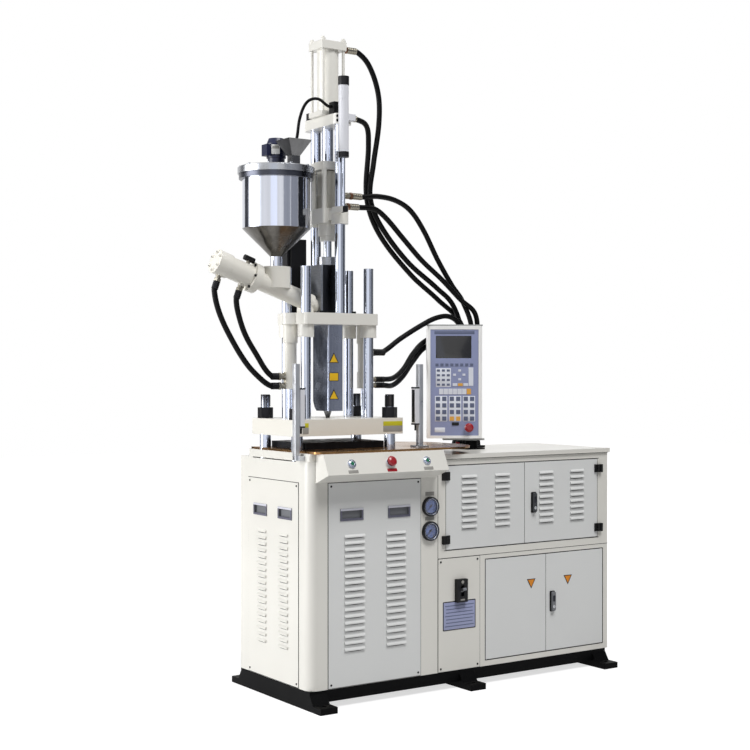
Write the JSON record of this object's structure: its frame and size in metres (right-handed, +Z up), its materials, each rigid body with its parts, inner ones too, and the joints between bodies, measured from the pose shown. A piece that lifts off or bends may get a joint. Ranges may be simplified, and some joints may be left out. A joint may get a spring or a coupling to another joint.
{
  "type": "vertical injection moulding machine",
  "caption": "Vertical injection moulding machine with a screw unit on chrome guide bars, a mixing hopper with a tilted feeder, a louvred press base and a cabinet with a swivel control box.",
  "frame": {"origin": "middle of the four corner anchor holes, on the floor", "axes": "+X to the right along the front, +Y to the back, +Z up"},
  "size_m": [1.7935, 0.7068, 2.59],
  "materials": {
    "cream_paint": "semi-gloss",
    "white_paint": "semi-gloss",
    "black_paint": "semi-gloss",
    "black_steel": "oiled black",
    "table_steel": "polished, reflects brown",
    "chrome": "hard chrome",
    "polished_steel": "polished",
    "machine_steel": "machined",
    "dark_steel": "polished dark",
    "navy_paint": "gloss",
    "grey_paint": "semi-gloss",
    "black_plastic": "matt",
    "red_plastic": "gloss",
    "green_plastic": "gloss",
    "panel_paint": "fine texture",
    "aluminium": "anodised",
    "rubber": "matt"
  },
  "bodies": {
    "base": {"skid": "black_paint", "press_cabinet": "cream_paint", "front_panel": "white_paint", "side_panel": "cream_paint", "upper_cabinet": "cream_paint", "lower_cabinet": "cream_paint", "breaker_panel": "white_paint", "bolster": "cream_paint", "table_top": "table_steel", "lower_mould_plate": "black_steel", "control_fascia": "cream_paint", "pressure_gauges": "chrome", "light_curtains": "aluminium", "clamp_cylinder": "grey_paint", "pump_motor": "grey_paint", "control_gear": "grey_paint", "hose_manifold": "black_steel", "panel_stand": "black_paint", "hydraulic_hoses": "rubber"},
    "platen": {"top_platen": "cream_paint", "clamp_bars": "chrome", "clamp_nuts": "black_steel", "crosshead": "machine_steel", "carriage_bars": "chrome"},
    "carriage": {"carriage_plate": "cream_paint", "lift_cylinders": "cream_paint", "nozzle_guard": "polished_steel", "barrel": "machine_steel", "feed_cover": "dark_steel", "injection_bars": "chrome", "cylinder_plate": "cream_paint", "injection_cylinder": "cream_paint", "transducer": "aluminium", "stuffer": "cream_paint", "hopper": "polished_steel", "hopper_lid": "polished_steel", "agitator_motor": "navy_paint", "terminal_boxes": "black_plastic", "stuffer_hoses": "rubber", "agitator_cable": "rubber"},
    "injection": {"injection_plate": "cream_paint", "ram_cage": "cream_paint", "hydraulic_motor": "grey_paint"},
    "screw": {"screw": "machine_steel"},
    "agitator": {"agitator": "polished_steel"},
    "feeder_ram": {"stuffer_piston": "polished_steel"},
    "upper_left_door": {"upper_left_door": "white_paint"},
    "upper_right_door": {"upper_right_door": "white_paint"},
    "lower_left_door": {"lower_left_door": "white_paint"},
    "lower_right_door": {"lower_right_door": "white_paint"},
    "upper_latch": {"upper_latch": "black_steel"},
    "lower_latch": {"lower_latch": "machine_steel"},
    "start_button_left": {"start_button_left": "green_plastic"},
    "stop_button": {"stop_button": "red_plastic"},
    "start_button_right": {"start_button_right": "green_plastic"},
    "upper_needle": {"upper_needle": "black_plastic"},
    "lower_needle": {"lower_needle": "black_plastic"},
    "breaker_lever": {"breaker_lever": "aluminium"},
    "control_box": {"control_box": "panel_paint"},
    "panel_stop": {"panel_stop": "red_plastic"}
  },
  "joints": [
    {"name": "clamp_stroke", "type": "slide", "parent": "base", "child": "platen", "axis": [0, 0, 1], "range_m": [0, 0.25], "deforming": ["hydraulic_hoses"]},
    {"name": "carriage_stroke", "type": "slide", "parent": "platen", "child": "carriage", "axis": [0, 0, 1], "range_m": [0, 0.14]},
    {"name": "injection_stroke", "type": "slide", "parent": "carriage", "child": "injection", "axis": [0, 0, 1], "range_m": [-0.055, 0.11]},
    {"name": "screw_turn", "type": "hinge", "parent": "injection", "child": "screw", "pos_m": [-0.502, 0, 1.8], "axis": [0, 0, 1], "continuous": true},
    {"name": "agitator_turn", "type": "hinge", "parent": "carriage", "child": "agitator", "pos_m": [-0.738, 0, 2], "axis": [0, 0, 1], "continuous": true},
    {"name": "feeder_stroke", "type": "slide", "parent": "carriage", "child": "feeder_ram", "axis": [0.9426, 0, -0.3338], "range_m": [0, 0.16]},
    {"name": "upper_left_door_swing", "type": "hinge", "parent": "base", "child": "upper_left_door", "pos_m": [-0.115, -0.2735, 0.725], "axis": [0, 0, -1], "range_deg": [0, 110]},
    {"name": "upper_right_door_swing", "type": "hinge", "parent": "base", "child": "upper_right_door", "pos_m": [0.705, -0.2735, 0.725], "axis": [0, 0, 1], "range_deg": [0, 110]},
    {"name": "lower_left_door_swing", "type": "hinge", "parent": "base", "child": "lower_left_door", "pos_m": [0.096, -0.2605, 0.301], "axis": [0, 0, -1], "range_deg": [0, 110]},
    {"name": "lower_right_door_swing", "type": "hinge", "parent": "base", "child": "lower_right_door", "pos_m": [0.726, -0.2605, 0.301], "axis": [0, 0, 1], "range_deg": [0, 110]},
    {"name": "upper_latch_turn", "type": "hinge", "parent": "upper_right_door", "child": "upper_latch", "pos_m": [0.343, -0.2655, 0.75], "axis": [0, 1, 0], "range_deg": [0, 90]},
    {"name": "lower_latch_turn", "type": "hinge", "parent": "lower_right_door", "child": "lower_latch", "pos_m": [0.446, -0.2655, 0.329], "axis": [0, 1, 0], "range_deg": [0, 90]},
    {"name": "start_button_left_press", "type": "slide", "parent": "base", "child": "start_button_left", "axis": [0, 0.9037, -0.4281], "range_m": [0, 0.004], "stiffness_N_per_m": 500},
    {"name": "stop_button_press", "type": "slide", "parent": "base", "child": "stop_button", "axis": [0, 0.9037, -0.4281], "range_m": [0, 0.004], "stiffness_N_per_m": 500},
    {"name": "start_button_right_press", "type": "slide", "parent": "base", "child": "start_button_right", "axis": [0, 0.9037, -0.4281], "range_m": [0, 0.004], "stiffness_N_per_m": 500},
    {"name": "upper_needle_turn", "type": "hinge", "parent": "base", "child": "upper_needle", "pos_m": [-0.1935, -0.2655, 0.736], "axis": [0, 1, 0], "range_deg": [0, 270], "stiffness_Nm_per_rad": 0.02},
    {"name": "lower_needle_turn", "type": "hinge", "parent": "base", "child": "lower_needle", "pos_m": [-0.1935, -0.2655, 0.639], "axis": [0, 1, 0], "range_deg": [0, 270], "stiffness_Nm_per_rad": 0.02},
    {"name": "breaker_lever_throw", "type": "hinge", "parent": "base", "child": "breaker_lever", "pos_m": [-0.044, -0.2765, 0.392], "axis": [1, 0, 0], "range_deg": [0, 40]},
    {"name": "control_box_swivel", "type": "hinge", "parent": "base", "child": "control_box", "pos_m": [0.219, -0.0045, 1], "axis": [0, 0, 1], "range_deg": [0, 60]},
    {"name": "panel_stop_press", "type": "slide", "parent": "control_box", "child": "panel_stop", "axis": [0.5592, 0.829, 0], "range_m": [0, 0.004], "stiffness_N_per_m": 500}
  ]
}
